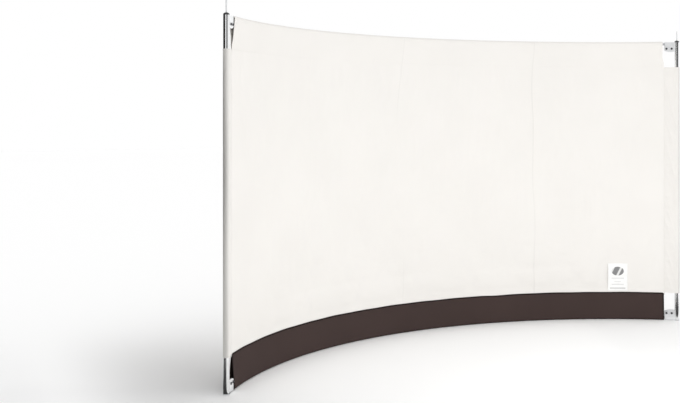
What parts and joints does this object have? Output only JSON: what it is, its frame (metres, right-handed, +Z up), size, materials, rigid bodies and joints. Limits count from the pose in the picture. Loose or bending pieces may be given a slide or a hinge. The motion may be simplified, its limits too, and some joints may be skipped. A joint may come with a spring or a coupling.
{
  "type": "beach windbreak",
  "caption": "Free-standing curved beach windbreak: off-white canvas on bent bows between upright metal posts, with a dark band along the ground.",
  "frame": {"origin": "on the ground, in the middle of the part's box", "axes": "+X along the chord from post to post, +Y from the hollow side towards the bulging side, +Z up"},
  "size_m": [2.757, 0.5917, 1.55],
  "materials": {
    "post_metal": "polished",
    "cap_plastic": "satin",
    "pin_steel": "satin",
    "foot_plastic": "matt",
    "bracket_metal": "satin",
    "bolt_steel": "blackened",
    "bow_metal": "satin",
    "canvas": "woven",
    "band_cloth": "woven",
    "label_cloth": "printed"
  },
  "bodies": {
    "root": {"left_post": "post_metal", "right_post": "post_metal", "left_post_cap": "cap_plastic", "right_post_cap": "cap_plastic", "left_guy_pin": "pin_steel", "right_guy_pin": "pin_steel", "left_foot": "foot_plastic", "right_foot": "foot_plastic", "left_top_bracket": "bracket_metal", "right_top_bracket": "bracket_metal", "left_bottom_bracket": "bracket_metal", "right_bottom_bracket": "bracket_metal", "left_top_bolts": "bolt_steel", "right_top_bolts": "bolt_steel", "left_bottom_bolts": "bolt_steel", "right_bottom_bolts": "bolt_steel", "top_bow": "bow_metal", "bottom_bow": "bow_metal", "canvas_panel": "canvas", "top_hem": "canvas", "bottom_band": "band_cloth", "left_sleeve": "canvas", "right_sleeve": "canvas", "care_label": "label_cloth"}
  },
  "joints": []
}
